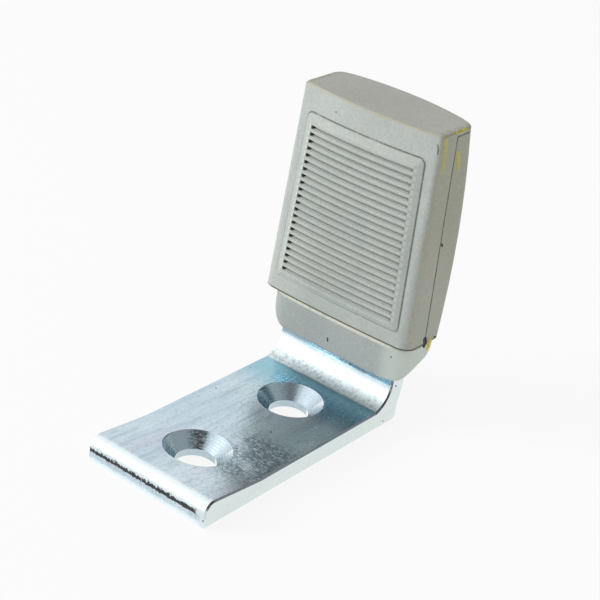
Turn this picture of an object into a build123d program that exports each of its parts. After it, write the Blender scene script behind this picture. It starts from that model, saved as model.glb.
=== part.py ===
from build123d import *
from collections import namedtuple
from math import atan2, degrees
import os

# Floor door stop: a steel angle, screwed to the floor, whose upright leg is cased in rubber.
# The door meets the ribbed pad on the front of the rubber head.
# Millimetres, +Z up. The nose of the foot points to -Y, and X runs along the width of the bar.
# The origin is on the floor, midway between the two screw holes.

# Steel bar of the bracket
bar_width = 25.0
bar_thickness = 3.6
leg_thickness = 3.7
leg_height = 50.0
foot_length = 52.6
edge_break = 0.3

# Nose of the foot, upset a little thicker than the bar and sheared off at the front
nose_thickness = 4.8
nose_top_radius = 1.9
shear_height = 2.1
shear_step = 0.3
ramp_end = 13.5

# Heel, where the foot turns up into the leg. Its inner arc runs on from the leg and meets the foot
# at a crease.
heel_arc_top = 8.1
heel_arc_reach = 3.4
crease_radius = 0.5
heel_outer_radius = 1.1
heel_inset = 0.6
heel_height = 6.5

# Holes for countersunk screws, on the centre line
front_hole = 12.3
hole_spacing = 24.6
hole_diameter = 7.0
countersink_diameter = 11.7

# Rubber head, of a front and a rear pad that meet beside the middle of the leg
seam_height = 17.0
head_top = 55.9
pad_split = 51.1
cap_thickness = 0.9
rear_bow = 1.6
bow_strips = 8
seam_break = 0.2
top_break = 0.3

# Raised field on the face, with sloping borders
field_bottom = 19.9
field_top = 51.4
field_half_width_bottom = 13.3
field_half_width_top = 12.05
field_rise = 0.6
border_width = 1.5
border_drop = 0.57
field_corner_radius = 1.0

# Grooves across the field; the ribs are what is left between them
groove_count = 22
top_groove = 49.05
bottom_groove = 21.95
groove_half_length_top = 10.6
groove_half_length_bottom = 11.8
groove_mouth = 0.72
groove_floor = 0.34
groove_depth = 0.75

# Rubber collar round the leg, below the head. It sits a little to one side.
collar_bottom = 10.5
collar_half_width_top = 15.2
collar_half_width_bottom = 14.0
collar_left_radius = 4.6
collar_right_radius = 2.6
collar_top_break = 0.35
collar_shift = 0.8

# Longer than the whole part, for blocks that cut or trim
cutter_size = 80.0

# Distance within which two coordinates count as the same
tolerance = 0.01

origin_from_nose = front_hole + hole_spacing / 2
leg_front = foot_length - leg_thickness
leg_middle = foot_length - leg_thickness / 2

# Plan outline of the head or the collar at one height. Distances to its front and rear edges are
# from the nose, and each of the two faces rises from its edges to an arched middle.
Plan = namedtuple("Plan", "height half_width front front_rise front_radius rear rear_rise rear_radius")

bottom_plan = Plan(seam_height, 15.85, 45.75, 0.45, 2.4, 56.3, 1.2, 2.5)
top_plan = Plan(head_top, 14.1, 46.4, 1.3, 0.8, 56.0, 2.3, 2.5)
collar_plan = Plan(0, collar_half_width_top, 45.5, 0.45, 4.5, 55.0, 0.3, 1.5)


def between(share, start, end):
    """The value a share of the way from start to end."""
    return start + share * (end - start)


def along(distance):
    """Y of a place given by its distance from the nose."""
    return distance - origin_from_nose


def corner_at(shape, y, z):
    """The corner of a side view that lies at y and z."""
    return [v for v in shape.vertices() if abs(v.Y - y) < tolerance and abs(v.Z - z) < tolerance]


def plan_face(plan):
    """A plan outline as a level face."""
    w = plan.half_width
    front = along(plan.front)
    rear = along(plan.rear)
    outline = [
        ThreePointArc((-w, front), (0, front - plan.front_rise), (w, front)),
        Line((w, front), (w, rear)),
        ThreePointArc((w, rear), (0, rear + plan.rear_rise), (-w, rear)),
        Line((-w, rear), (-w, front)),
    ]
    face = make_face(outline)
    face = fillet(face.vertices().sort_by(Axis.Y)[:2], plan.front_radius)
    face = fillet(face.vertices().sort_by(Axis.Y)[-2:], plan.rear_radius)
    return Pos(0, 0, plan.height) * face


def plan_at(height):
    """Plan of the head at a height, on straight lines from its bottom to its top."""
    share = (height - seam_height) / (head_top - seam_height)
    return Plan(*(between(share, low, high) for low, high in zip(bottom_plan, top_plan)))


def bowed_plan(share, top):
    """Plan of the rear pad a share of the way up to its top: the bow is greatest halfway."""
    plan = plan_at(between(share, seam_height, top))
    bow = rear_bow * 4 * share * (1 - share)
    return plan._replace(rear=plan.rear + bow)


def leg_room():
    """The space that the leg takes up inside the rubber."""
    return Pos(0, along(leg_middle), leg_height / 2) * Box(bar_width, leg_thickness, leg_height)


def screw_hole():
    """Cutter for one countersunk hole round the Z axis."""
    bore_radius = hole_diameter / 2
    mouth_radius = countersink_diameter / 2
    cone_depth = mouth_radius - bore_radius
    bore = Cylinder(bore_radius, 3 * bar_thickness)
    cone = Pos(0, 0, bar_thickness - cone_depth / 2) * Cone(bore_radius, mouth_radius, cone_depth)
    clearance = Pos(0, 0, 1.5 * bar_thickness) * Cylinder(mouth_radius, bar_thickness)
    return bore + cone + clearance


def bracket_side_view():
    """Outline of the bracket seen along X."""
    arc_top = (along(leg_front), heel_arc_top)
    crease = (along(leg_front - heel_arc_reach), bar_thickness)
    points = [
        crease,
        (along(ramp_end), bar_thickness),
        (along(0), nose_thickness),
        (along(0), shear_height),
        (along(shear_step), shear_height - shear_step),
        (along(shear_step), 0),
        (along(foot_length - heel_inset), 0),
        (along(foot_length - heel_inset), heel_height / 2),
        (along(foot_length), heel_height),
        (along(foot_length), leg_height),
        (along(leg_front), leg_height),
        arc_top,
    ]
    heel_arc = TangentArc(arc_top, crease, tangent=(0, -1))
    view = make_face([Plane.YZ * Polyline(*points), Plane.YZ * heel_arc])
    view = fillet(corner_at(view, *crease), crease_radius)
    view = fillet(corner_at(view, along(foot_length - heel_inset), 0), heel_outer_radius)
    return fillet(corner_at(view, along(0), nose_thickness), nose_top_radius)


def make_bracket():
    """Steel angle with its two countersunk holes."""
    body = extrude(bracket_side_view(), bar_width / 2, both=True)
    side_edges = body.edges().filter_by(lambda e: abs(abs(e.center().X) - bar_width / 2) < tolerance)
    upper = side_edges.filter_by(lambda e: e.center().Z > shear_height)
    body = chamfer(upper, edge_break)
    for place in (-hole_spacing / 2, hole_spacing / 2):
        body -= Pos(0, place, 0) * screw_hole()
    return body


def straight_form(plans):
    """A solid lofted between two plans, its top edge broken."""
    form = loft([plan_face(plan) for plan in plans])
    return chamfer(form.faces().sort_by(Axis.Z)[-1].edges(), top_break)


def front_view(bottom, bottom_half_width, top, top_half_width):
    """An upright face with level ends and straight sloping sides."""
    return make_face(Plane.XZ * Polyline(
        (-bottom_half_width, bottom),
        (bottom_half_width, bottom),
        (top_half_width, top),
        (-top_half_width, top),
        close=True,
    ))


def raised_field():
    """The raised field of the face: it follows the arch and has sloping borders."""
    view = front_view(field_bottom, field_half_width_bottom, field_top, field_half_width_top)
    prism = Pos(0, along(pad_split), 0) * extrude(view, cutter_size)
    crest_plans = [plan._replace(front=plan.front - field_rise) for plan in (bottom_plan, top_plan)]
    block = prism & straight_form(crest_plans)
    crest = block.faces().sort_by(Axis.Y)[0]
    field = chamfer(crest.edges(), border_width, length2=border_drop, reference=crest)
    hips = field.edges().filter_by(lambda e: border_width < e.length < 2 * border_width)
    return fillet(hips, field_corner_radius)


def groove(index):
    """Cutter for one groove, turned about the centre of the arch at its height.

    Its walls slope on past the crest, so it reaches as far in front of the crest as behind it.
    """
    share = index / (groove_count - 1)
    height = between(share, top_groove, bottom_groove)
    half_length = between(share, groove_half_length_top, groove_half_length_bottom)
    plan = plan_at(height)
    radius = (plan.half_width ** 2 + plan.front_rise ** 2) / (2 * plan.front_rise)
    crest = along(plan.front) - plan.front_rise - field_rise
    outer_half = groove_mouth - groove_floor / 2
    outline = Polyline(
        (crest + groove_depth, height - groove_floor / 2),
        (crest + groove_depth, height + groove_floor / 2),
        (crest - groove_depth, height + outer_half),
        (crest - groove_depth, height - outer_half),
        close=True,
    )
    centre_line = Axis((0, crest + radius, 0), (0, 0, 1))
    half_turn = degrees(atan2(half_length, radius))
    section = make_face(Plane.YZ * outline)
    return revolve(section.rotate(centre_line, -half_turn), centre_line, 2 * half_turn)


def break_seam(pad):
    """The pad with its two upright edges at the split taken off, so the seam shows as a line."""
    at_split = pad.edges().filter_by(
        lambda e: abs(e.center().Y - along(pad_split)) < tolerance and abs(e.center().X) > bar_width / 2)
    return chamfer(at_split.filter_by(lambda e: e.length > bar_width), seam_break)


def make_pads():
    """Front pad with the ribs and the cap, and the rear pad that fits under the cap.

    The sides and the front are straight from bottom to top. The rear bows out in between, in
    straight strips that turn so little from one to the next that they look like one curve.
    """
    cap_underside = head_top - cap_thickness
    behind = Pos(0, along(pad_split) + cutter_size / 2, cap_underside / 2) * Box(
        cutter_size, cutter_size, cap_underside)
    front = break_seam(straight_form([bottom_plan, top_plan]) - behind) + raised_field()
    for index in range(groove_count):
        front -= groove(index)
    rear_plans = [bowed_plan(index / bow_strips, cap_underside) for index in range(bow_strips + 1)]
    rear = break_seam(loft([plan_face(plan) for plan in rear_plans], ruled=True) & behind)
    return front - leg_room(), rear - leg_room()


def make_collar():
    """Boot that closes the head round the leg, its lower corners rounded."""
    block = extrude(plan_face(collar_plan), seam_height)
    block = chamfer(block.faces().sort_by(Axis.Z)[-1].edges(), collar_top_break)
    view = front_view(collar_bottom, collar_half_width_bottom, seam_height, collar_half_width_top)
    for end, radius in ((0, collar_left_radius), (-1, collar_right_radius)):
        lowest = view.vertices().group_by(Axis.Z)[0]
        view = fillet(lowest.sort_by(Axis.X)[end], radius)
    boot = block & extrude(view, cutter_size, both=True)
    return Pos(collar_shift, 0, 0) * boot - leg_room()


os.makedirs("parts", exist_ok=True)
front_pad, rear_pad = make_pads()
for name, solid in (
    ("bracket", make_bracket()),
    ("collar", make_collar()),
    ("front_pad", front_pad),
    ("rear_pad", rear_pad),
):
    export_step(solid, f"parts/{name}.step")
    print(f"{name}: {solid.volume:.0f} mm3")
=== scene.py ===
import bpy
import math
from collections import namedtuple
from mathutils import Matrix, Vector, noise
from mathutils.bvhtree import BVHTree


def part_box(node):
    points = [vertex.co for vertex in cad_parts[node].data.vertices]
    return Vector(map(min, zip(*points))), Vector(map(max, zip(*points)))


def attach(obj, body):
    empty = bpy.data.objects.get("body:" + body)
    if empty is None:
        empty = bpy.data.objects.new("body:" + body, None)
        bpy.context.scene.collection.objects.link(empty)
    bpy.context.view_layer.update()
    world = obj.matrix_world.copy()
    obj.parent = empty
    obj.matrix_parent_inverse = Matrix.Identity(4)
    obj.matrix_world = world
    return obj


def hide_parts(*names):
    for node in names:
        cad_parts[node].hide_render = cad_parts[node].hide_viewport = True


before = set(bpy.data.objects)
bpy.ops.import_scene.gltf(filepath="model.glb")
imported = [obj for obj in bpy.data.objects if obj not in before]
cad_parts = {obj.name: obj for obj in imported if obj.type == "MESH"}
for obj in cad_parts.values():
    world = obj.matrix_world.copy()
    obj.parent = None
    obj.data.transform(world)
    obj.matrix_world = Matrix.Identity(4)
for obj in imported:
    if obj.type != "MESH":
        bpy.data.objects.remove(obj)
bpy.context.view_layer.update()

MM = 0.001
X, Y, Z = range(3)

# Camera of the photograph, in degrees and millimetres, in the frame of the part
CAMERA_AZIMUTH = 33.742
CAMERA_ELEVATION = 27.231
CAMERA_ROLL = 9.527
CAMERA_TARGET_RIGHT = 24.726
CAMERA_TARGET_UP = 30.824
CAMERA_DISTANCE = 274.436
CAMERA_ORIGIN_Y = -24.6
LENS_MM = 103.914
SENSOR_MM = 36.0
PHOTO_SIZE = 600

# Places on the part, in metres, that the materials need
BRACKET_LOW, BRACKET_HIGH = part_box("bracket")
REAR_LOW, REAR_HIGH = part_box("rear_pad")
COLLAR_LOW, COLLAR_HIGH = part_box("collar")
SPLIT_Y = REAR_LOW.y
SEAM_Z = COLLAR_HIGH.z
CAP_Z = REAR_HIGH.z
TOP_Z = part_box("front_pad")[1].z
NOSE_Y = BRACKET_LOW.y
HALF_BAR = BRACKET_HIGH.x
PLATE_Z = 3.6 * MM
SHEAR_Z = 2.1 * MM
HOLE_Y = 12.3 * MM
HOLE_MOUTH = 5.85 * MM
HEEL_Y = 20.9 * MM
HEEL_TOP = 7.8 * MM

# Raised field and its grooves: half widths change evenly from the bottom to the top
FIELD_BOTTOM, FIELD_TOP = 19.9 * MM, 51.4 * MM
FIELD_HALF_BOTTOM, FIELD_HALF_TOP = 13.3 * MM, 12.05 * MM
FIELD_CORNER = 1.1 * MM
GROOVE_COUNT = 22
GROOVE_BOTTOM, GROOVE_TOP = 21.95 * MM, 49.05 * MM
GROOVE_HALF_BOTTOM, GROOVE_HALF_TOP = 11.8 * MM, 10.6 * MM
GROOVE_PITCH = (GROOVE_TOP - GROOVE_BOTTOM) / (GROOVE_COUNT - 1)

# Crest of the field: at each height its Y is CREST + ARCH * x * x
CREST_BOTTOM, CREST_TOP = 20.1 * MM, 19.9 * MM
ARCH_BOTTOM, ARCH_TOP = 2.08, 5.88

# The worn patch on the plate, and the cutter's rings in the holes, in radians per metre of radius
WORN_LEFT, WORN_RIGHT = -1 * MM, 5 * MM
WORN_Y, WORN_HALF = -8 * MM, 5 * MM
CUTTER_RINGS = 16000.0

# The collar as the photograph shows it: the rounding of its lower right edge grows to the rear
COLLAR_SHIFT = 0.8 * MM
COLLAR_HALF = 15.2 * MM
COLLAR_LOW_LEFT, COLLAR_LOW_RIGHT = 14.0 * MM, 15.0 * MM
COLLAR_ROUND_LEFT = 4.6 * MM
COLLAR_ROUND_RIGHT_FRONT, COLLAR_ROUND_RIGHT_REAR = 1.2 * MM, 6.4 * MM
COLLAR_TURN = 0.6 * MM
COLLAR_FRONT, COLLAR_REAR = 20.9 * MM, 30.4 * MM
COLLAR_FRONT_ARCH, COLLAR_REAR_ARCH = 0.45 * MM, 0.3 * MM
COLLAR_CORNER = 4.5 * MM
COLLAR_REAR_CORNER = 2.5 * MM
COLLAR_REAR_WIDENS = 5.0 * MM
COLLAR_EDGE = 0.35 * MM

# Mesh of the collar: steps round a corner, round its lower edge and up its side, closer lower down
CORNER_STEPS = 14
EDGE_STEPS = 3
SIDE_STEPS = 24
SIDE_CROWDING = 1.6
SHARP_DEGREES = 35

# Flash of rubber at the lower left corner of the front pad. Its profile has shares of the reach,
# each with a height above the seam.
FLASH_X, FLASH_Y = -14.8 * MM, 21.75 * MM
FLASH_OUTWARD = Vector((-0.786, -0.618, 0.0))
FLASH_ALONG = Vector((0.618, -0.786, 0.0))
FLASH_HALF_LENGTH = 1.1 * MM
FLASH_ROOT = 0.25 * MM
FLASH_POINT = 0.5 * MM
FLASH_POINT_CURVE = 1.3
FLASH_STEPS = 10
FLASH_PROFILE = ((0.0, 0.02 * MM), (1.0, 0.05 * MM), (0.8, 0.2 * MM), (0.0, 0.7 * MM))

# Dried adhesive, marks and painted shadows, each a stroke of (column, row, half width) in the 600 pixel
# photograph
GLUE_UNDER_CAP = ((455.5, 133.6, 1.1), (460, 132, 1.5), (464, 130.2, 1.5), (467.5, 128.4, 1.0))
GLUE_BY_SEAM = ((447.2, 137.5, 1.9), (445.4, 150, 1.5), (443.6, 163, 1.5), (442, 175.5, 0.9))
GLUE_PATCH = ((457.8, 150, 1.4), (458.5, 160, 2.1), (458, 171.5, 1.1))
GLUE_LOW = ((430.6, 338, 1.7), (430.0, 343, 1.8), (427.8, 347.5, 1.4), (426.2, 351, 0.8))
GLUE_LOW_PALE = ((428, 337.5, 0.9), (427.4, 345, 0.7))
# Painted shadows: the dark gap at the seam's foot, and the shade below the rear pad's lower end
GAP_SHADOW = ((425.2, 337, 1.7), (425, 342, 1.8), (423.4, 348, 1.3))
SHADOW_UNDER_PAD = ((434.8, 336, 1.5), (434.6, 341, 1.4))
EDGE_MARK = ((437.2, 144, 0.7), (438.4, 149, 0.8), (437.2, 155, 0.7))
BROWN_SPOT = ((441.5, 243.5, 1.1), (442.5, 247, 0.9))

# Films along the strokes: points across, pixels between rows, share of the length over which an
# end narrows, its least width, thickness at the rim, and how deep the rim is sunk
FILM_ACROSS = 7
FILM_STEP = 0.6
FILM_FEWEST_STEPS = 4
FILM_END = 0.12
FILM_END_WIDTH = 0.2
FILM_RIM = 0.01 * MM
FILM_SUNK = 0.05 * MM

# Unevenness of films and specks: its size, changes per pixel, lumps per metre, and steps in the
# noise from one point of a speck to the next, round it and down it
RAGGEDNESS = 0.35
RAGGED_PER_PIXEL = 0.45
LUMPS_PER_METRE = 2200
RAGGED_ROUND, RAGGED_DOWN = 0.9, 1.7

# Specks of dirt: column, row and width in the same photograph
SPECKS = (
    (336, 112, 1.8),
    (327.5, 338.3, 2.2),
    (327.5, 340.3, 2.4),
    (391, 357, 1.8),
    (216, 388, 1.9),
    (271, 432, 2.4),
    (383, 421, 1.8),
    (396, 386, 2.2),
    (389, 394, 2.0),
    (203, 521, 1.9),
)

# Form of a speck: sides, height of its tip, and rings of (radius, height), in half widths
SPECK_SIDES = 12
SPECK_TIP = 0.5
SPECK_RINGS = ((0.55, 0.42), (0.95, 0.1), (0.9, -0.25))

# Studio, in metres and watts
LAMP_TARGET = Vector((0.0, 0.0, 0.02))
LAMP_DIRECTION = Vector((-0.68, -0.66, 0.32))
LAMP_DISTANCE = 0.8
LAMP_SIZE = 0.22
LAMP_POWER = 3.7
FLOOR_HALF = 3.0
FLOOR_GAP = 0.02 * MM

# Strengths of the world: on matt surfaces, and as metal mirrors its dark, left and front sides
WORLD_LIGHT = 0.6
MIRRORED_DARK = 0.35
MIRRORED_LEFT = 0.9
MIRRORED_FRONT = 0.5

# The floor to the camera: share of plain white over its shaded self, and how much more the metal sees
FLOOR_WHITE_SHARE = 0.86
FLOOR_MIRRORED_EXTRA = 0.4

# Sockets of a mix node that hold colours
MIX_FIRST, MIX_SECOND, MIX_RESULT = 6, 7, 2


def colour(red, green, blue):
    """Scene-linear colour from the 0 to 255 values that a screen shows."""
    def linear(value):
        value /= 255
        return value / 12.92 if value <= 0.04045 else ((value + 0.055) / 1.055) ** 2.4
    return (linear(red), linear(green), linear(blue), 1.0)


# Tones of the rubber, with painted light in the side and top tones
RubberTones = namedtuple("RubberTones", "pale dark low_side high_side top seed")
HEAD_TONES = RubberTones(
    pale=colour(182, 187, 182),
    dark=colour(171, 178, 173),
    low_side=colour(180, 183, 168),
    high_side=colour(169, 172, 154),
    top=colour(176, 178, 170),
    seed=3,
)
# The collar's side tones are painted light: lighter than the rest, where light from the floor falls on
# its sides.
COLLAR_TONES = RubberTones(
    pale=colour(167, 173, 171),
    dark=colour(156, 163, 161),
    low_side=colour(186, 192, 182),
    high_side=colour(186, 192, 182),
    top=colour(170, 172, 166),
    seed=7,
)
RUBBER_HANDLED = colour(176, 172, 152)
RUBBER_DARK_FLECK = colour(146, 152, 148)
RUBBER_PALE_FLECK = colour(206, 210, 205)
RUBBER_CORNER = colour(176, 164, 128)
# Painted shadow in the seams
SEAM_SHADOW = colour(62, 62, 52)
# Painted highlight on the collar's upper edge, and painted light on its right side
COLLAR_LEDGE_HIGHLIGHT = colour(222, 220, 204)
COLLAR_SIDE_LIGHT = colour(214, 224, 215)
TOP_EDGE_WORN = colour(184, 178, 148)
TOP_FRINGE = colour(150, 146, 118)
# Painted shadow at the foot of the raised field
FIELD_FOOT_SHADOW = colour(84, 86, 76)
# Painted light on the groove walls and painted shade on their floors
GROOVE_WALL_LIGHT = colour(216, 219, 215)
GROOVE_FLOOR_SHADE = colour(120, 130, 132)
# Painted shade in the ends of the grooves
GROOVE_END_SHADE = colour(58, 66, 60)
# Painted highlight on the lips beside the groove ends
GROOVE_LIP_HIGHLIGHT = colour(214, 218, 210)

# Tones of the zinc plate and the floor
ZINC_BLUE = colour(172, 190, 200)
ZINC_PALE = colour(190, 203, 211)
ZINC_VIOLET = colour(176, 176, 190)
ZINC_GREEN = colour(160, 186, 184)
ZINC_STREAK = colour(138, 158, 172)
ZINC_LINE = colour(122, 138, 148)
ZINC_GRAIN = colour(132, 144, 150)
ZINC_PIT = colour(96, 100, 102)
ZINC_SIDE = colour(196, 205, 202)
# Painted reflection on the plate before the heel
ZINC_HEEL_REFLECTION = colour(126, 172, 186)
ZINC_WORN_DARK = colour(92, 112, 124)
ZINC_WORN_PALE = colour(216, 224, 228)
# Painted shade in the holes, and a painted highlight on the lit side of their cones
ZINC_HOLE_SHADE = colour(152, 170, 178)
ZINC_CONE_LIT = colour(212, 236, 248)
ZINC_NOSE_FOOT = colour(226, 236, 240)
ZINC_TORN = colour(12, 13, 17)
ZINC_STAIN = colour(84, 70, 56)
# Painted highlight on the arc of the heel
ZINC_HEEL_HIGHLIGHT = colour(204, 213, 214)
ZINC_HEEL_SPECKLE = colour(158, 166, 166)
# Painted reflection of the collar above the heel
ZINC_COLLAR_REFLECTION = colour(116, 148, 162)
# Painted highlights on the nose and the left edge
ZINC_NOSE_HIGHLIGHT = colour(198, 206, 208)
ZINC_LEFT_EDGE_HIGHLIGHT = colour(214, 220, 220)
FLOOR_TONE = colour(252, 252, 252)


class Nodes:
    """Short calls for building a node tree."""

    def __init__(self, tree, coordinates="Object"):
        self.tree = tree
        self.coordinates = tree.nodes.new("ShaderNodeTexCoord").outputs[coordinates]

    def link(self, source, target):
        self.tree.links.new(source, target)

    def feed(self, socket, value):
        """Puts a number, a colour or another node's output into a socket."""
        if isinstance(value, bpy.types.NodeSocket):
            self.link(value, socket)
        else:
            socket.default_value = value

    def scaled(self, scale, offset):
        """Coordinates times a scale along each axis, then shifted."""
        node = self.tree.nodes.new("ShaderNodeMapping")
        self.link(self.coordinates, node.inputs["Vector"])
        node.inputs["Scale"].default_value = scale
        node.inputs["Location"].default_value = offset
        return node.outputs["Vector"]

    def noise(self, scale, detail=3.0, roughness=0.5, offset=(0, 0, 0)):
        """Noise from 0 to 1. Scale is in features per metre along X, Y and Z."""
        node = self.tree.nodes.new("ShaderNodeTexNoise")
        self.link(self.scaled(scale, offset), node.inputs["Vector"])
        node.inputs["Scale"].default_value = 1.0
        node.inputs["Detail"].default_value = detail
        node.inputs["Roughness"].default_value = roughness
        return node.outputs["Fac"]

    def cells(self, scale, offset=(0, 0, 0)):
        """Distance from the nearest of a field of scattered points, from 0 up."""
        node = self.tree.nodes.new("ShaderNodeTexVoronoi")
        self.link(self.scaled(scale, offset), node.inputs["Vector"])
        node.inputs["Scale"].default_value = 1.0
        return node.outputs["Distance"]

    def ramp(self, value, low, high, start=0.0, end=1.0, smooth=True):
        """A value between low and high, spread from start to end."""
        node = self.tree.nodes.new("ShaderNodeMapRange")
        node.interpolation_type = "SMOOTHSTEP" if smooth else "LINEAR"
        self.feed(node.inputs["Value"], value)
        self.feed(node.inputs["From Min"], low)
        self.feed(node.inputs["From Max"], high)
        node.inputs["To Min"].default_value = start
        node.inputs["To Max"].default_value = end
        return node.outputs["Result"]

    def fade(self, value, low, high):
        """1 up to low, and from there down to 0 at high."""
        return self.ramp(value, low, high, 1.0, 0.0)

    def math(self, operation, first, second=0.0):
        node = self.tree.nodes.new("ShaderNodeMath")
        node.operation = operation
        self.feed(node.inputs[0], first)
        self.feed(node.inputs[1], second)
        return node.outputs["Value"]

    def chain(self, operation, values):
        """Values joined one after the other by an operation."""
        result = values[0]
        for value in values[1:]:
            result = self.math(operation, result, value)
        return result

    def product(self, *values):
        return self.chain("MULTIPLY", values)

    def total(self, *values):
        return self.chain("ADD", values)

    def largest(self, *values):
        return self.chain("MAXIMUM", values)

    def minus(self, first, second):
        return self.math("SUBTRACT", first, second)

    def size(self, value):
        """A value without its sign."""
        return self.math("ABSOLUTE", value)

    def diagonal(self, first, second):
        """Length of the diagonal of a rectangle with two given sides."""
        return self.math("SQRT", self.total(self.product(first, first), self.product(second, second)))

    def near(self, value, centre, half_width, blur):
        """1 where a value is close to a centre, and 0 away from it."""
        return self.fade(self.size(self.minus(value, centre)), half_width, half_width + blur)

    def mix(self, share, first, second):
        node = self.tree.nodes.new("ShaderNodeMix")
        node.data_type = "RGBA"
        self.feed(node.inputs["Factor"], share)
        self.feed(node.inputs[MIX_FIRST], first)
        self.feed(node.inputs[MIX_SECOND], second)
        return node.outputs[MIX_RESULT]

    def part(self, vector, index):
        """X, Y or Z of a vector."""
        node = self.tree.nodes.new("ShaderNodeSeparateXYZ")
        self.link(vector, node.inputs["Vector"])
        return node.outputs[index]

    def axis(self, index):
        """Coordinate along X, Y or Z."""
        return self.part(self.coordinates, index)


class Material(Nodes):
    """A material whose colour is laid on in coats, one over the other."""

    def __init__(self, name):
        self.material = bpy.data.materials.new(name)
        self.material.use_nodes = True
        super().__init__(self.material.node_tree)
        self.shader = self.tree.nodes["Principled BSDF"]

    def facing(self, index):
        """How far the surface faces along X, Y or Z."""
        geometry = self.tree.nodes.new("ShaderNodeNewGeometry")
        return self.part(geometry.outputs["Normal"], index)

    def ground(self, share, first, second):
        """Lays the lowest coat, a mix of two tones."""
        self.colour = self.mix(share, first, second)

    def coat(self, tone, *shares):
        """Lays a tone over the colour so far, by the product of some shares of 0 to 1."""
        self.colour = self.mix(self.product(*shares), self.colour, tone)

    def bump(self, height, distance, strength=0.6, below=None):
        """Bump from a height of 0 to 1, where 1 stands distance metres proud."""
        node = self.tree.nodes.new("ShaderNodeBump")
        node.inputs["Distance"].default_value = distance
        node.inputs["Strength"].default_value = strength
        self.link(height, node.inputs["Height"])
        if below is not None:
            self.link(below, node.inputs["Normal"])
        return node.outputs["Normal"]

    def surface(self, roughness, normal, metallic=0.0):
        """Feeds the shader and hands over the finished material."""
        self.feed(self.shader.inputs["Base Color"], self.colour)
        self.feed(self.shader.inputs["Roughness"], roughness)
        self.feed(self.shader.inputs["Normal"], normal)
        self.feed(self.shader.inputs["Metallic"], metallic)
        return self.material


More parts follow.
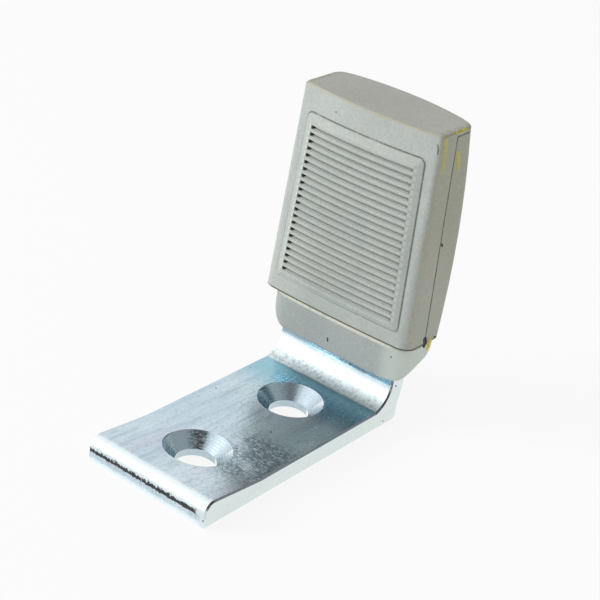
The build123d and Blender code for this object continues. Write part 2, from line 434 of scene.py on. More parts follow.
class Rubber(Material):
    """Moulded grey rubber: cloudy, grainy tone, with painted light in other tones to the side and on top.
    """

    def __init__(self, name, tones):
        super().__init__(name)
        self.x, self.y, self.z = self.axis(X), self.axis(Y), self.axis(Z)
        self.up = self.facing(Z)
        self.shift = (tones.seed, tones.seed * 2, tones.seed * 3)
        self.clouds = self.noise((90, 90, 70), detail=4.0, roughness=0.6, offset=self.shift)
        self.ragged = self.noise((900, 900, 900), detail=4.0, roughness=0.65, offset=self.shift)
        self.broken = self.ramp(self.ragged, 0.3, 0.5, 0.5, 1.0)
        self.lay_ground(tones)

    def lay_ground(self, tones):
        """Tone of the whole surface, with painted light in its side and top tones, flecks, handled
        patches and a stain along its corners.
        """
        sideways = self.size(self.facing(X))
        side = self.mix(self.ramp(self.z, SEAM_Z, TOP_Z - 10 * MM), tones.low_side, tones.high_side)
        self.ground(self.ramp(self.clouds, 0.3, 0.7), tones.dark, tones.pale)
        # Painted light: the sides and the top take their own tones by the way they face.
        self.coat(side, self.ramp(sideways, 0.66, 0.86))
        self.coat(tones.top, self.ramp(self.up, 0.6, 0.95))
        handled = self.noise((160, 160, 60), detail=5.0, roughness=0.65, offset=self.shift)
        self.coat(RUBBER_HANDLED, self.ramp(handled, 0.5, 0.75, 0.0, 0.3))
        flecks = self.noise((2300, 2300, 2300), detail=3.0, roughness=0.6, offset=self.shift)
        self.coat(RUBBER_DARK_FLECK, self.ramp(flecks, 0.5, 0.72, 0.0, 0.3))
        self.coat(RUBBER_PALE_FLECK, self.ramp(flecks, 0.48, 0.3, 0.0, 0.25))
        on_corner = self.near(sideways, 0.74, 0.06, 0.06)
        self.coat(RUBBER_CORNER, on_corner, self.ramp(self.ragged, 0.42, 0.6), 0.45)

    def shade_seams(self):
        """Painted shadow in the gaps at the foot of the head, along the split between the pads and under
        the cap.
        """
        foot = self.fade(self.z, SEAM_Z + 0.2 * MM, SEAM_Z + 0.34 * MM)
        split = self.product(
            self.near(self.y, SPLIT_Y, 0.09 * MM, 0.1 * MM),
            self.fade(self.z, CAP_Z - 0.2 * MM, CAP_Z),
            self.broken,
        )
        under_cap = self.product(
            self.near(self.z, CAP_Z, 0.08 * MM, 0.1 * MM),
            self.ramp(self.y, SPLIT_Y - 0.1 * MM, SPLIT_Y),
            self.broken,
        )
        # Painted shadow: dark lines where the seams leave narrow gaps.
        self.coat(SEAM_SHADOW, self.largest(foot, split, under_cap), 0.85)

    def paint_collar_light(self):
        """Painted highlight along the upper edge of the collar, and painted light on its right side."""
        # Painted highlight on the upper edge, which faces the light.
        ledge_highlight = self.ramp(self.z, SEAM_Z - 0.5 * MM, SEAM_Z - 0.3 * MM)
        self.coat(COLLAR_LEDGE_HIGHLIGHT, ledge_highlight, self.broken, 0.8)
        # Painted light on the right side, where light from the floor falls.
        self.coat(COLLAR_SIDE_LIGHT, self.ramp(self.x, COLLAR_HIGH.x - 6 * MM, COLLAR_HIGH.x - MM))

    def in_front(self):
        """1 on the front of the pad, and 0 behind it."""
        return self.fade(self.y, SPLIT_Y - 3 * MM, SPLIT_Y - 2 * MM)

    def up_the_field(self, start, end):
        """A size that changes evenly from the bottom of the raised field to its top."""
        return self.ramp(self.z, FIELD_BOTTOM, FIELD_TOP, start, end, smooth=False)

    def line_field(self):
        """Painted shadow: a dark line round the foot of the raised field, strongest along its right and
        upper edges.
        """
        half_width = self.up_the_field(FIELD_HALF_BOTTOM, FIELD_HALF_TOP)
        half_height = (FIELD_TOP - FIELD_BOTTOM) / 2
        from_middle = self.size(self.minus(self.z, (FIELD_TOP + FIELD_BOTTOM) / 2))
        past_side = self.total(self.minus(self.size(self.x), half_width), FIELD_CORNER)
        past_end = self.minus(from_middle, half_height - FIELD_CORNER)
        corner = self.diagonal(self.largest(past_side, 0.0), self.largest(past_end, 0.0))
        outline = self.total(corner, self.math("MINIMUM", self.largest(past_side, past_end), 0.0))
        to_the_right = self.ramp(self.x, -5 * MM, 5 * MM, 0.3, 1.0)
        at_top = self.ramp(self.z, FIELD_TOP - 2 * MM, FIELD_TOP)
        foot = self.product(
            self.near(outline, FIELD_CORNER, 0.08 * MM, 0.14 * MM),
            self.largest(to_the_right, at_top),
            self.ramp(self.z, FIELD_BOTTOM, FIELD_BOTTOM + 2 * MM, 0.5, 1.0),
        )
        # Painted shadow along the foot of the field's edge.
        self.coat(FIELD_FOOT_SHADOW, foot, self.in_front(), self.broken, 0.75)

    def mark_grooves(self):
        """Painted light on the groove walls, painted shade on their floors and in their ends, and painted
        highlights on the lips beside the ends.
        """
        arch = self.product(self.up_the_field(ARCH_BOTTOM, ARCH_TOP), self.x, self.x)
        depth = self.minus(self.y, self.total(self.up_the_field(CREST_BOTTOM, CREST_TOP), arch))
        reach = self.ramp(
            self.z, GROOVE_BOTTOM, GROOVE_TOP, GROOVE_HALF_BOTTOM, GROOVE_HALF_TOP, smooth=False)
        from_end = self.minus(reach, self.size(self.x))
        in_rows = self.product(
            self.in_front(),
            self.ramp(self.z, GROOVE_BOTTOM - 1.2 * MM, GROOVE_BOTTOM - 0.8 * MM),
            self.fade(self.z, GROOVE_TOP + 0.8 * MM, GROOVE_TOP + 1.2 * MM),
        )
        in_grooves = self.product(in_rows, self.ramp(from_end, -0.1 * MM, 0.1 * MM))
        on_wall = self.product(
            in_grooves,
            self.ramp(depth, 0.05 * MM, 0.15 * MM),
            self.fade(depth, 0.4 * MM, 0.6 * MM),
        )
        # Painted light on the walls, lightening the grooves where light runs along them.
        self.coat(GROOVE_WALL_LIGHT, on_wall, 0.7)
        # Painted shade on the deep floors of the grooves.
        self.coat(GROOVE_FLOOR_SHADE, in_grooves, self.ramp(depth, 0.5 * MM, 0.68 * MM), 0.35)
        # Painted shade in the ends of the grooves, darker at the left ends, which face away from the
        # light.
        in_end = self.product(
            in_rows,
            self.ramp(depth, 0.1 * MM, 0.3 * MM),
            self.near(from_end, 0.15 * MM, 0.25 * MM, 0.35 * MM),
        )
        self.coat(GROOVE_END_SHADE, in_end, self.ramp(self.x, -6 * MM, 6 * MM, 0.9, 0.35))
        # Painted highlight on the lips beside the ends of the grooves.
        height = self.minus(self.z, GROOVE_BOTTOM - GROOVE_PITCH / 2)
        row = self.math("FRACT", self.math("DIVIDE", height, GROOVE_PITCH))
        beside_end = self.near(from_end, -0.32 * MM, 0.12 * MM, 0.16 * MM)
        self.coat(GROOVE_LIP_HIGHLIGHT, beside_end, self.near(row, 0.5, 0.25, 0.2), in_rows, 0.45)

    def wear_top(self):
        """Worn upper edge of the head, and a grubby fringe at both ends of its top."""
        self.coat(
            TOP_EDGE_WORN,
            self.near(self.up, 0.6, 0.3, 0.1),
            self.ramp(self.z, TOP_Z - 0.6 * MM, TOP_Z - 0.3 * MM),
            self.ramp(self.ragged, 0.34, 0.56, 0.2, 0.75),
        )
        wander = self.ramp(self.ragged, 0.25, 0.75, -0.7 * MM, 0.7 * MM)
        outward = self.total(self.size(self.x), wander)
        at_ends = self.ramp(outward, 12.9 * MM, 13.9 * MM, 0.0, 0.8)
        self.coat(TOP_FRINGE, self.ramp(self.up, 0.5, 0.9), at_ends)

    def finish(self):
        """Soft sheen, with a slight ripple and a fine grain."""
        ripple = self.noise((240, 240, 240), detail=3.0, offset=self.shift)
        grain = self.noise((4200, 4200, 4200), detail=2.0)
        normal = self.bump(ripple, 0.12 * MM)
        normal = self.bump(grain, 0.04 * MM, below=normal)
        self.shader.inputs["Specular IOR Level"].default_value = 0.3
        return self.surface(self.ramp(self.clouds, 0.2, 0.8, 0.5, 0.64), normal)


def grey_rubber():
    """Rubber of the rear pad."""
    n = Rubber("grey_rubber", HEAD_TONES)
    n.shade_seams()
    return n.finish()


def ribbed_rubber():
    """Rubber of the front pad, with its marked field and its worn top."""
    n = Rubber("ribbed_rubber", HEAD_TONES)
    n.shade_seams()
    n.line_field()
    n.mark_grooves()
    n.wear_top()
    return n.finish()


def collar_rubber():
    """Darker rubber of the collar."""
    n = Rubber("collar_rubber", COLLAR_TONES)
    n.paint_collar_light()
    return n.finish()


class Plate(Material):
    """Bright zinc plate on a drawn steel bar: fine marks along the bar, pits and faint blue bloom."""

    def __init__(self, name):
        super().__init__(name)
        self.x, self.y, self.z = self.axis(X), self.axis(Y), self.axis(Z)
        self.rightward, self.rearward, self.up = self.facing(X), self.facing(Y), self.facing(Z)
        self.sideways = self.size(self.rightward)
        self.grain = self.noise((1900, 1500, 1900), detail=3.0, roughness=0.7)
        self.ragged = self.noise((1900, 500, 1900), detail=4.0, roughness=0.75)
        self.find_places()
        self.dark = self.largest(self.torn_line(), self.cutter_streaks())
        self.lay_ground()

    def find_places(self):
        """Shares of 0 to 1 that say where on the bracket a point is."""
        self.at_nose = self.fade(self.y, NOSE_Y + 0.35 * MM, NOSE_Y + 0.6 * MM)
        self.at_heel = self.ramp(self.y, HEEL_Y - 0.5 * MM, HEEL_Y + 0.5 * MM)
        self.flat_across = self.product(
            self.fade(self.sideways, 0.4, 0.6),
            self.fade(self.rearward, 0.0, 0.3),
        )
        self.on_heel_arc = self.product(
            self.at_heel,
            self.fade(self.z, HEEL_TOP - 0.5 * MM, HEEL_TOP),
            self.flat_across,
        )
        self.on_roll = self.product(
            self.fade(self.y, NOSE_Y + 1.5 * MM, NOSE_Y + 1.8 * MM),
            self.ramp(self.z, SHEAR_Z, SHEAR_Z + 0.3 * MM),
            self.flat_across,
        )
        self.radius = self.diagonal(self.x, self.minus(self.size(self.y), HOLE_Y))
        self.in_hole = self.product(
            self.fade(self.radius, HOLE_MOUTH - 0.1 * MM, HOLE_MOUTH),
            self.fade(self.z, PLATE_Z, PLATE_Z + MM),
        )
        self.in_cone = self.product(self.in_hole, self.ramp(self.up, 0.3, 0.5))

    def torn_line(self):
        """Share of the torn, dark line across the nose, below its rolled edge."""
        wander = self.ramp(self.ragged, 0.28, 0.72, -0.5 * MM, 0.5 * MM, smooth=False)
        return self.product(
            self.near(self.total(self.z, wander), SHEAR_Z + 0.16 * MM, 0.44 * MM, 0.06 * MM),
            self.at_nose,
            self.fade(self.x, HALF_BAR - 2.2 * MM, HALF_BAR - 1.6 * MM),
            self.ramp(self.noise((640, 80, 80), detail=4.0, roughness=0.7), 0.32, 0.38),
        )

    def cutter_streaks(self):
        """Share of the dark streaks on the rear walls of the countersinks, fainter in the rear one."""
        chatter = self.noise((1500, 1500, 4600), detail=4.0, roughness=0.7)
        return self.product(
            self.in_cone,
            self.ramp(self.rearward, -0.2, -0.35),
            self.ramp(chatter, 0.42, 0.54),
            self.ramp(self.rightward, 0.25, 0.3),
            self.fade(self.rightward, 0.5, 0.68),
            self.ramp(self.y, -HOLE_Y / 2, HOLE_Y / 2, 0.9, 0.3),
        )

    def lay_ground(self):
        """Bloom, tints, streaks and grain of the whole surface."""
        bloom = self.noise((75, 55, 75), detail=3.0)
        self.ground(self.ramp(bloom, 0.3, 0.7), ZINC_BLUE, ZINC_PALE)
        tint = self.noise((260, 40, 260), detail=3.0, offset=(7, 3, 1))
        self.coat(ZINC_VIOLET, self.ramp(tint, 0.52, 0.7, 0.0, 0.5))
        self.coat(ZINC_GREEN, self.ramp(tint, 0.46, 0.3, 0.0, 0.5))
        streaks = self.noise((620, 34, 620), detail=3.0, roughness=0.6)
        self.coat(ZINC_STREAK, self.ramp(streaks, 0.48, 0.7, 0.0, 0.5))
        fine = self.noise((2600, 110, 2600), detail=4.0, roughness=0.7)
        self.coat(ZINC_LINE, self.ramp(fine, 0.48, 0.7, 0.0, 0.3))
        self.coat(ZINC_GRAIN, self.ramp(self.grain, 0.5, 0.7, 0.0, 0.4))

    def wear_plate_and_paint_heel_reflection(self):
        """Painted reflection in the darker, bluer plate before the heel, a worn patch between the holes,
        pits, and pale sides.
        """
        # Painted reflection: the plate before the heel is darker and bluer, as it mirrors the part above
        # it.
        heel_reflection = self.ramp(self.y, HEEL_Y - 12 * MM, HEEL_Y - 3 * MM)
        self.coat(ZINC_HEEL_REFLECTION, heel_reflection, self.ramp(self.up, 0.97, 0.99), 0.85)
        cloudy = self.noise((260, 260, 260), detail=3.0, offset=(5, 5, 1))
        worn = self.product(
            self.ramp(self.x, WORN_LEFT, WORN_RIGHT),
            self.near(self.y, WORN_Y, WORN_HALF, WORN_HALF),
            self.ramp(self.up, 0.9, 0.97),
            self.ramp(cloudy, 0.3, 0.5, 0.35, 1.0),
        )
        patchy = self.noise((1300, 2100, 1300), detail=4.0, roughness=0.7, offset=(2, 5, 3))
        self.coat(ZINC_WORN_DARK, worn, self.ramp(patchy, 0.38, 0.54), 0.75)
        self.coat(ZINC_WORN_PALE, worn, self.ramp(patchy, 0.43, 0.34), 0.4)
        pits = self.fade(self.cells((620, 420, 620)), 0.06, 0.16)
        some = self.ramp(self.noise((70, 70, 70), offset=(4, 1, 2)), 0.56, 0.62)
        self.coat(ZINC_PIT, pits, some, 0.5)
        self.coat(ZINC_SIDE, self.ramp(self.sideways, 0.8, 0.95, 0.0, 0.8))

    def mark_holes_and_nose(self):
        """Painted shade in the holes and a painted highlight on the lit side of each cone, the pale foot
        of the nose, and all that is torn or streaked dark.
        """
        # Painted shade in the holes, and a painted highlight on the side of the cones that faces the
        # light.
        self.coat(ZINC_HOLE_SHADE, self.in_hole, 0.6)
        self.coat(ZINC_CONE_LIT, self.in_cone, self.ramp(self.rightward, 0.4, 0.6), 0.9)
        self.coat(ZINC_NOSE_FOOT, self.at_nose, self.ramp(self.z, 0.3 * MM, 1.3 * MM, 0.7, 0.0))
        self.coat(ZINC_TORN, self.dark)

    def mark_heel(self):
        """Stained edges at the heel and the nose, a painted highlight on the arc of the heel, and a
        painted reflection of the collar in the band above it.
        """
        at_corner = self.fade(self.y, NOSE_Y + 1.5 * MM, NOSE_Y + 2.5 * MM)
        stained = self.product(
            self.largest(self.at_heel, at_corner),
            self.near(self.sideways, 0.7, 0.2, 0.08),
            self.ramp(self.ragged, 0.36, 0.46),
        )
        self.coat(ZINC_STAIN, stained, 0.8)
        # Painted highlight on the arc of the heel, where the lamp's light glances off.
        self.coat(ZINC_HEEL_HIGHLIGHT, self.on_heel_arc, 0.75)
        low_down = self.ramp(self.z, PLATE_Z, PLATE_Z + 2.8 * MM, 0.75, 0.0)
        self.coat(ZINC_HEEL_SPECKLE, self.on_heel_arc, self.ramp(self.grain, 0.46, 0.62), low_down)
        # Painted reflection of the collar in the band above the arc.
        above_arc = self.ramp(self.z, HEEL_TOP - 0.3 * MM, HEEL_TOP + 0.2 * MM)
        self.coat(ZINC_COLLAR_REFLECTION, self.at_heel, above_arc, self.flat_across, 0.75)

    def paint_edge_highlights(self):
        """Painted highlights on the roll and right corner of the nose, where they aren't torn, and on the
        left edge.
        """
        to_corner = self.ramp(self.x, HALF_BAR - 1.6 * MM, HALF_BAR - 0.9 * MM)
        highlighted = self.largest(self.on_roll, self.product(self.at_nose, to_corner))
        # Painted highlights on the nose's roll and right corner.
        self.coat(ZINC_NOSE_HIGHLIGHT, highlighted, self.minus(1.0, self.dark), 0.8)
        # Painted highlight on the left edge break.
        self.coat(ZINC_LEFT_EDGE_HIGHLIGHT, self.near(self.rightward, -0.7, 0.2, 0.08), 0.8)

    def finish(self):
        """Metal with drawn marks, grain and rings from the cutter, duller where it is torn or worn."""
        drawn = self.noise((1500, 60, 1500), detail=4.0, roughness=0.6)
        waves = self.math("SINE", self.product(self.radius, CUTTER_RINGS))
        rings = self.product(self.ramp(waves, -1.0, 1.0), self.in_hole)
        normal = self.bump(drawn, 0.03 * MM)
        normal = self.bump(self.grain, 0.03 * MM, below=normal)
        normal = self.bump(rings, 0.012 * MM, below=normal)
        dull = self.largest(self.dark, self.on_heel_arc, self.product(self.on_roll, 0.5))
        roughness = self.total(self.ramp(self.grain, 0.25, 0.75, 0.16, 0.3), self.product(dull, 0.3))
        return self.surface(roughness, normal, metallic=self.ramp(self.dark, 0.0, 1.0, 1.0, 0.1))


def zinc_plate():
    """Finish of the bracket."""
    n = Plate("zinc_plate")
    n.wear_plate_and_paint_heel_reflection()
    n.mark_holes_and_nose()
    n.mark_heel()
    n.paint_edge_highlights()
    return n.finish()


def lump(name, pale, dark, roughness):
    """Dried adhesive, dirt or flash: uneven tone and a lumpy, slightly glossy skin."""
    n = Material(name)
    tone = n.noise((1400, 1400, 1400), detail=4.0, roughness=0.6)
    n.ground(n.ramp(tone, 0.35, 0.65), dark, pale)
    lumps = n.noise((2600, 2600, 2600), detail=3.0)
    return n.surface(n.ramp(tone, 0.3, 0.7, roughness, roughness + 0.2), n.bump(lumps, 0.04 * MM))


def camera_axes():
    """Directions to the right, up and back of the camera, and its place in metres."""
    azimuth = math.radians(CAMERA_AZIMUTH)
    elevation = math.radians(CAMERA_ELEVATION)
    roll = math.radians(CAMERA_ROLL)
    back = Vector((
        math.sin(azimuth) * math.cos(elevation),
        -math.cos(azimuth) * math.cos(elevation),
        math.sin(elevation),
    ))
    level_right = Vector((math.cos(azimuth), math.sin(azimuth), 0.0))
    level_up = back.cross(level_right)
    right = math.cos(roll) * level_right + math.sin(roll) * level_up
    up = math.cos(roll) * level_up - math.sin(roll) * level_right
    place = right * CAMERA_TARGET_RIGHT + up * CAMERA_TARGET_UP + back * CAMERA_DISTANCE
    place += Vector((0.0, CAMERA_ORIGIN_Y, 0.0))
    return right, up, back, place * MM


def make_camera():
    """Camera where the photograph was taken from."""
    right, up, back, place = camera_axes()
    data = bpy.data.cameras.new("camera")
    data.lens = LENS_MM
    data.sensor_width = SENSOR_MM
    data.clip_start = 0.01
    data.clip_end = 20.0
    camera = bpy.data.objects.new("camera", data)
    turn = Matrix((right, up, back)).transposed().to_4x4()
    camera.matrix_world = Matrix.Translation(place) @ turn
    bpy.context.scene.collection.objects.link(camera)
    bpy.context.scene.camera = camera


def add_piece(name, points, faces, material):
    """Puts a smooth mesh piece on the part's body."""
    mesh = bpy.data.meshes.new(name)
    mesh.from_pydata([tuple(point) for point in points], [], faces)
    mesh.materials.append(material)
    for face in mesh.polygons:
        face.use_smooth = True
    piece = bpy.data.objects.new(name, mesh)
    bpy.context.scene.collection.objects.link(piece)
    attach(piece, "root")
    return piece


def band_faces(rings, around, start=0, flip=False):
    """Faces between closed rings of points that are listed ring by ring."""
    faces = []
    for ring in range(rings - 1):
        for index in range(around):
            first = start + ring * around + index
            following = start + ring * around + (index + 1) % around
            if flip:
                faces.append((first, first + around, following + around, following))
            else:
                faces.append((first, following, following + around, first + around))
    return faces


def collar_plan(z, inset):
    """Points round the collar at a height: arched front and rear, with round corners between them.

    The rear corners are rounder towards the lower edge.
    """
    widening = max(0.0, 1.0 - (z - COLLAR_LOW.z) / COLLAR_REAR_WIDENS)
    front_corner = COLLAR_CORNER - inset
    rear_corner = COLLAR_REAR_CORNER + (COLLAR_CORNER - COLLAR_REAR_CORNER) * widening - inset
    half = COLLAR_HALF - inset
    front, rear = COLLAR_FRONT + inset, COLLAR_REAR - inset
    points = []
    for side, corner, centre_y, start in (
        (1, front_corner, front + front_corner, -90),
        (1, rear_corner, rear - rear_corner, 0),
        (-1, rear_corner, rear - rear_corner, 90),
        (-1, front_corner, front + front_corner, 180),
    ):
        centre_x = side * (half - corner)
        for index in range(CORNER_STEPS + 1):
            angle = math.radians(start + 90 * index / CORNER_STEPS)
            points.append((centre_x + corner * math.cos(angle), centre_y + corner * math.sin(angle)))
        if start in (0, 180):
            shares = [1 - 2 * index / CORNER_STEPS for index in range(1, CORNER_STEPS)]
            points += [(centre_x * share, points[-1][1]) for share in shares]
    middle = (COLLAR_FRONT + COLLAR_REAR) / 2
    arched = []
    for x, y in points:
        share = 1 - (x / COLLAR_HALF) ** 2
        arched.append((x, y - COLLAR_FRONT_ARCH * share if y < middle else y + COLLAR_REAR_ARCH * share))
    return arched


def collar_reach(z, low_half, radius):
    """How far the collar reaches to one side at a height, over its rounded lower corner."""
    rise = z - COLLAR_LOW.z
    reach = low_half + rise / (SEAM_Z - COLLAR_LOW.z) * (COLLAR_HALF - low_half)
    return reach - radius + math.sqrt(radius ** 2 - (radius - min(rise, radius)) ** 2)


def soft_limit(value, limit):
    """A value held to a limit, with a round turn into it."""
    overlap = max(COLLAR_TURN - abs(value - limit), 0.0) / COLLAR_TURN
    return min(value, limit) - overlap * overlap * COLLAR_TURN / 4


def collar_levels():
    """Height and inset of each ring, from the rounded lower edge to the broken upper one."""
    levels = []
    for index in range(EDGE_STEPS + 1):
        angle = math.radians(90 * index / EDGE_STEPS)
        rise = COLLAR_EDGE * (1 - math.cos(angle))
        levels.append((COLLAR_LOW.z + rise, COLLAR_EDGE * (1 - math.sin(angle))))
    start, end = COLLAR_LOW.z + COLLAR_EDGE, SEAM_Z - COLLAR_EDGE
    for index in range(1, SIDE_STEPS + 1):
        levels.append((start + (end - start) * (index / SIDE_STEPS) ** SIDE_CROWDING, 0.0))
    levels.append((SEAM_Z, COLLAR_EDGE))
    return levels


def collar_ring(z, inset):
    """Points of the collar at one height, held to its rounded lower corners."""
    left = collar_reach(z, COLLAR_LOW_LEFT, COLLAR_ROUND_LEFT) - inset
    growth = COLLAR_ROUND_RIGHT_REAR - COLLAR_ROUND_RIGHT_FRONT
    points = []
    for x, y in collar_plan(z, inset):
        rearward = (y - COLLAR_FRONT) / (COLLAR_REAR - COLLAR_FRONT)
        radius = COLLAR_ROUND_RIGHT_FRONT + rearward * growth
        right = collar_reach(z, COLLAR_LOW_RIGHT, radius) - inset
        limited = soft_limit(x, right) if x > 0 else -soft_limit(-x, left)
        points.append((limited + COLLAR_SHIFT, y, z))
    return points


def add_collar(material):
    """Boot round the leg, in level rings, with the leg's own form cut out of it."""
    rings = [collar_ring(z, inset) for z, inset in collar_levels()]
    around = len(rings[0])
    points = [point for ring in rings for point in ring]
    ends = [tuple(reversed(range(around))), tuple(range(len(points) - around, len(points)))]
    piece = add_piece("rubber_boot", points, ends + band_faces(len(rings), around), material)
    piece.data.set_sharp_from_angle(angle=math.radians(SHARP_DEGREES))
    pocket = piece.modifiers.new("leg_pocket", "BOOLEAN")
    pocket.operation = "DIFFERENCE"
    pocket.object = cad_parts["bracket"]
    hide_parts("collar")
    return piece


def add_flash(material):
    """Small pointed flash of rubber at the corner of the front pad, where the mould closed."""
    corner = Vector((FLASH_X, FLASH_Y, SEAM_Z))
    sides = len(FLASH_PROFILE)
    points = []
    for index in range(FLASH_STEPS + 1):
        share = 2 * index / FLASH_STEPS - 1
        root = FLASH_ROOT * (1 + share * share)
        edge = corner + FLASH_ALONG * share * FLASH_HALF_LENGTH - FLASH_OUTWARD * root
        reach = FLASH_ROOT + FLASH_POINT * (1 - abs(share)) ** FLASH_POINT_CURVE
        for out, rise in FLASH_PROFILE:
            points.append(edge + FLASH_OUTWARD * reach * out + Vector((0.0, 0.0, rise)))
    ends = [tuple(range(sides)), tuple(len(points) - 1 - index for index in range(sides))]
    faces = ends + band_faces(FLASH_STEPS + 1, sides, flip=True)
    add_piece("mould_flash", points, faces, material)


def dress_part():
    """Gives the solids their materials, and adds the collar and the flash. Returns the collar."""
    grey = grey_rubber()
    ribbed = ribbed_rubber()
    collar = add_collar(collar_rubber())
    add_flash(lump("flash_rubber", pale=colour(184, 188, 178), dark=colour(168, 173, 164), roughness=0.5))
    for node, material in (("bracket", zinc_plate()), ("front_pad", ribbed), ("rear_pad", grey)):
        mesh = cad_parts[node].data
        mesh.materials.clear()
        mesh.materials.append(material)
    return collar


class Surface:
    """The outer surface of some objects, for placing small pieces on it."""

    def __init__(self, carriers):
        points = []
        faces = []
        for carrier in carriers:
            start = len(points)
            points += [vertex.co.copy() for vertex in carrier.data.vertices]
            faces += [tuple(start + index for index in face.vertices) for face in carrier.data.polygons]
        self.tree = BVHTree.FromPolygons(points, faces)

    def behind_pixel(self, column, row):
        """Place and outward direction of the surface behind a pixel of the photograph."""
        right, up, back, place = camera_axes()
        spread = SENSOR_MM / LENS_MM / PHOTO_SIZE
        ray = right * (column - PHOTO_SIZE / 2) * spread - up * (row - PHOTO_SIZE / 2) * spread - back
        hit, normal, _, _ = self.tree.ray_cast(place, ray.normalized())
        if hit is None:
            return None
        return hit, normal if normal.dot(ray) < 0 else -normal


def stations(stroke):
    """Even steps along a stroke: column, row, half width, share of the way and direction."""
    lengths = [math.dist(a[:2], b[:2]) for a, b in zip(stroke, stroke[1:])]
    count = max(FILM_FEWEST_STEPS, int(sum(lengths) / FILM_STEP))
    for index in range(count + 1):
        share = index / count
        rest = share * sum(lengths)
        leg = 0
        while leg < len(lengths) - 1 and rest > lengths[leg]:
            rest -= lengths[leg]
            leg += 1
        part = min(1.0, rest / lengths[leg])
        column, row, half = (a + part * (b - a) for a, b in zip(stroke[leg], stroke[leg + 1]))
        towards = [(b - a) / lengths[leg] for a, b in zip(stroke[leg][:2], stroke[leg + 1][:2])]
        yield column, row, half, share, towards


def film_row(surface, station, height):
    """Pairs of an upper and a lower point across a film, or none where it leaves the part."""
    column, row, half, share, (right, down) = station
    taper = max(FILM_END_WIDTH, min(1.0, share / FILM_END, (1.0 - share) / FILM_END) ** 0.5)
    sides = [2 * index / (FILM_ACROSS - 1) - 1 for index in range(FILM_ACROSS)]
    found = []
    for side in sides:
        wander = noise.noise(Vector((column * RAGGED_PER_PIXEL, row * RAGGED_PER_PIXEL, side)))
        reach = side * half * taper * (1.0 + RAGGEDNESS * wander)
        found.append(surface.behind_pixel(column - down * reach, row + right * reach))
    if None in found:
        return []
    outward = sum((normal for _, normal in found), Vector()).normalized()
    points = []
    for side, (hit, _) in zip(sides, found):
        swell = (1.0 - side * side) * taper * (0.8 + 0.5 * noise.noise(hit * LUMPS_PER_METRE))
        points += [hit + outward * (height * swell + FILM_RIM), hit - outward * FILM_SUNK]
    return points


def film_faces(rows):
    """Faces of a film: its upper and lower skins, its long edges and its ends."""
    last = FILM_ACROSS - 1

    def upper(row, index):
        return 2 * (row * FILM_ACROSS + index)

    def wall(first, second):
        return first, second, second + 1, first + 1

    faces = []
    for row in range(rows - 1):
        for index in range(last):
            near, far = upper(row, index), upper(row + 1, index)
            faces.append((near, near + 2, far + 2, far))
            faces.append((far + 1, far + 3, near + 3, near + 1))
        faces.append(wall(upper(row, 0), upper(row + 1, 0)))
        faces.append(wall(upper(row, last), upper(row + 1, last))[::-1])
    faces += [wall(upper(0, index), upper(0, index + 1))[::-1] for index in range(last)]
    faces += [wall(upper(rows - 1, index), upper(rows - 1, index + 1)) for index in range(last)]
    return faces


def add_film(name, surface, stroke, height, material):
    """A thin uneven film along a stroke of the photograph, laid on the part's own surface.

    It is highest in the middle, thins out to its edges and is closed underneath.
    """
    points = []
    for station in stations(stroke):
        points += film_row(surface, station, height)
    add_piece(name, points, film_faces(len(points) // (2 * FILM_ACROSS)), material)


def add_speck(name, surface, speck, material):
    """A small lump of dirt, a few tenths of a millimetre across, that sits on the part."""
    column, row, pixels = speck
    found = surface.behind_pixel(column, row)
    if found is None:
        return
    hit, normal = found
    across = normal.orthogonal().normalized()
    upward = normal.cross(across)
    size = pixels / 2 * CAMERA_DISTANCE * MM * SENSOR_MM / LENS_MM / PHOTO_SIZE
    points = [hit + normal * size * SPECK_TIP]
    for ring, (radius, rise) in enumerate(SPECK_RINGS):
        for index in range(SPECK_SIDES):
            angle = 2 * math.pi * index / SPECK_SIDES
            outward = across * math.cos(angle) + upward * math.sin(angle)
            wander = noise.noise(Vector((index * RAGGED_ROUND, ring * RAGGED_DOWN, column)))
            ragged = 1.0 + RAGGEDNESS * wander
            points.append(hit + size * (outward * radius * ragged + normal * rise))
    faces = [(0, 1 + index, 1 + (index + 1) % SPECK_SIDES) for index in range(SPECK_SIDES)]
    faces += band_faces(len(SPECK_RINGS), SPECK_SIDES, start=1, flip=True)
    faces.append(tuple(reversed(range(len(points) - SPECK_SIDES, len(points)))))
    add_piece(name, points, faces, material)


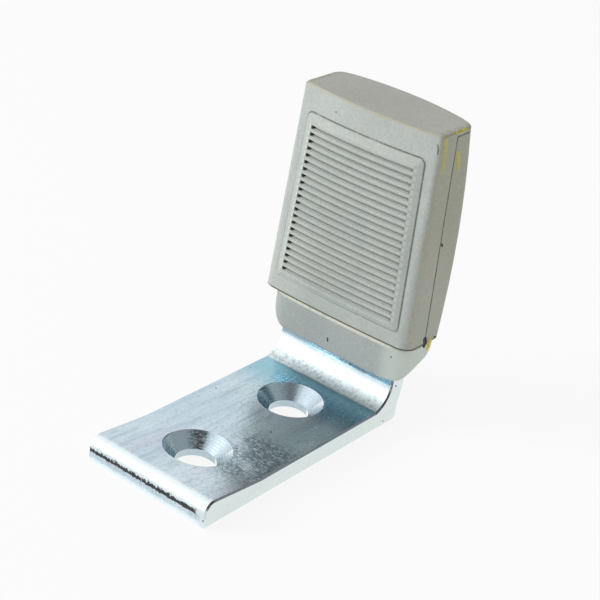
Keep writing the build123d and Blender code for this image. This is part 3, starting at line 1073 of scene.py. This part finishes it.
def add_residue(collar):
    """Dried adhesive at the seams, dirt, specks and dark films of painted shadow in gaps."""
    rubber_pieces = (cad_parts["front_pad"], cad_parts["rear_pad"], collar)
    pads = Surface(rubber_pieces)
    whole = Surface((*rubber_pieces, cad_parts["bracket"]))
    yellow = lump("dried_adhesive", pale=colour(222, 210, 34), dark=colour(196, 184, 36), roughness=0.3)
    olive = lump("old_adhesive", pale=colour(208, 200, 62), dark=colour(168, 158, 60), roughness=0.35)
    faint = lump("thin_adhesive", pale=colour(196, 188, 84), dark=colour(166, 162, 100), roughness=0.4)
    bruise = lump("scuffed_rubber", pale=colour(128, 130, 122), dark=colour(104, 106, 100), roughness=0.6)
    milky = lump("pale_adhesive", pale=colour(176, 172, 200), dark=colour(140, 140, 166), roughness=0.35)
    # Dark material of the dirt and of the films of painted shadow
    dirt_and_shadow = lump("dirt_and_shadow", pale=colour(58, 52, 44), dark=colour(26, 24, 22), roughness=0.6)
    for name, surface, stroke, height, material in (
        ("glue_under_cap", pads, GLUE_UNDER_CAP, 0.1 * MM, olive),
        ("glue_by_seam", pads, GLUE_BY_SEAM, 0.05 * MM, faint),
        ("glue_patch", pads, GLUE_PATCH, 0.04 * MM, faint),
        ("glue_low", whole, GLUE_LOW, 0.16 * MM, yellow),
        ("glue_low_pale", whole, GLUE_LOW_PALE, 0.1 * MM, milky),
        # Dark films of painted shadow in the gap and under the rear pad
        ("gap_shadow", whole, GAP_SHADOW, 0.03 * MM, dirt_and_shadow),
        ("shadow_under_pad", whole, SHADOW_UNDER_PAD, 0.08 * MM, dirt_and_shadow),
        ("edge_mark", pads, EDGE_MARK, 0.02 * MM, bruise),
        ("brown_spot", pads, BROWN_SPOT, 0.05 * MM, dirt_and_shadow),
    ):
        add_film(name, surface, stroke, height, material)
    for index, speck in enumerate(SPECKS):
        add_speck(f"speck_{index}", whole, speck, dirt_and_shadow)


def add_key_lamp():
    """Square area lamp to the left and front of the part, that shines on it."""
    data = bpy.data.lights.new("key_lamp", "AREA")
    data.shape = "SQUARE"
    data.size = LAMP_SIZE
    data.energy = LAMP_POWER
    lamp = bpy.data.objects.new("key_lamp", data)
    lamp.location = LAMP_TARGET + LAMP_DIRECTION.normalized() * LAMP_DISTANCE
    lamp.rotation_mode = "QUATERNION"
    lamp.rotation_quaternion = (LAMP_TARGET - lamp.location).to_track_quat("-Z", "Y")
    bpy.context.scene.collection.objects.link(lamp)


def make_world():
    """Soft light from all round, white to the camera and with a bright side for the metal."""
    world = bpy.data.worlds.new("studio")
    bpy.context.scene.world = world
    world.use_nodes = True
    n = Nodes(world.node_tree, "Generated")
    path = n.tree.nodes.new("ShaderNodeLightPath")
    leftward = n.ramp(n.minus(0.0, n.axis(X)), -0.2, 0.3)
    frontward = n.minus(n.product(n.axis(Z), 0.6), n.product(n.axis(Y), 0.6))
    bright = n.total(MIRRORED_LEFT, n.product(n.ramp(frontward, -0.2, 0.6), MIRRORED_FRONT))
    mirrored = n.total(MIRRORED_DARK, n.product(leftward, bright))
    extra_mirrored = n.product(path.outputs["Is Glossy Ray"], n.minus(mirrored, WORLD_LIGHT))
    extra_seen = n.product(path.outputs["Is Camera Ray"], 1.0 - WORLD_LIGHT)
    background = n.tree.nodes["Background"]
    n.link(n.total(extra_mirrored, WORLD_LIGHT, extra_seen), background.inputs["Strength"])
    background.inputs["Color"].default_value = (1.0, 1.0, 1.0, 1.0)


def floor_material():
    """Matt paper, near white to the camera and in the metal, that keeps the part's soft shadow."""
    n = Material("floor")
    n.colour = FLOOR_TONE
    paper = n.noise((400, 400, 400), detail=2.0)
    material = n.surface(0.9, n.bump(paper, 0.05 * MM, strength=0.2))
    path = n.tree.nodes.new("ShaderNodeLightPath")
    mirrored = path.outputs["Is Glossy Ray"]
    white = n.tree.nodes.new("ShaderNodeEmission")
    n.link(n.total(1.0, n.product(mirrored, FLOOR_MIRRORED_EXTRA)), white.inputs["Strength"])
    blend = n.tree.nodes.new("ShaderNodeMixShader")
    seen = n.largest(path.outputs["Is Camera Ray"], mirrored)
    n.link(n.product(seen, FLOOR_WHITE_SHARE), blend.inputs["Fac"])
    n.link(n.shader.outputs["BSDF"], blend.inputs[1])
    n.link(white.outputs["Emission"], blend.inputs[2])
    n.link(blend.outputs["Shader"], n.tree.nodes["Material Output"].inputs["Surface"])
    return material


def make_floor():
    """Plain pale floor under the part."""
    mesh = bpy.data.meshes.new("floor")
    corners = ((-1, -1), (1, -1), (1, 1), (-1, 1))
    mesh.from_pydata([(x * FLOOR_HALF, y * FLOOR_HALF, 0) for x, y in corners], [], [(0, 1, 2, 3)])
    mesh.materials.append(floor_material())
    floor = bpy.data.objects.new("floor", mesh)
    floor.location.z = -FLOOR_GAP
    bpy.context.scene.collection.objects.link(floor)


bpy.context.scene.view_settings.view_transform = "Standard"
make_camera()
add_key_lamp()
make_world()
make_floor()
add_residue(dress_part())
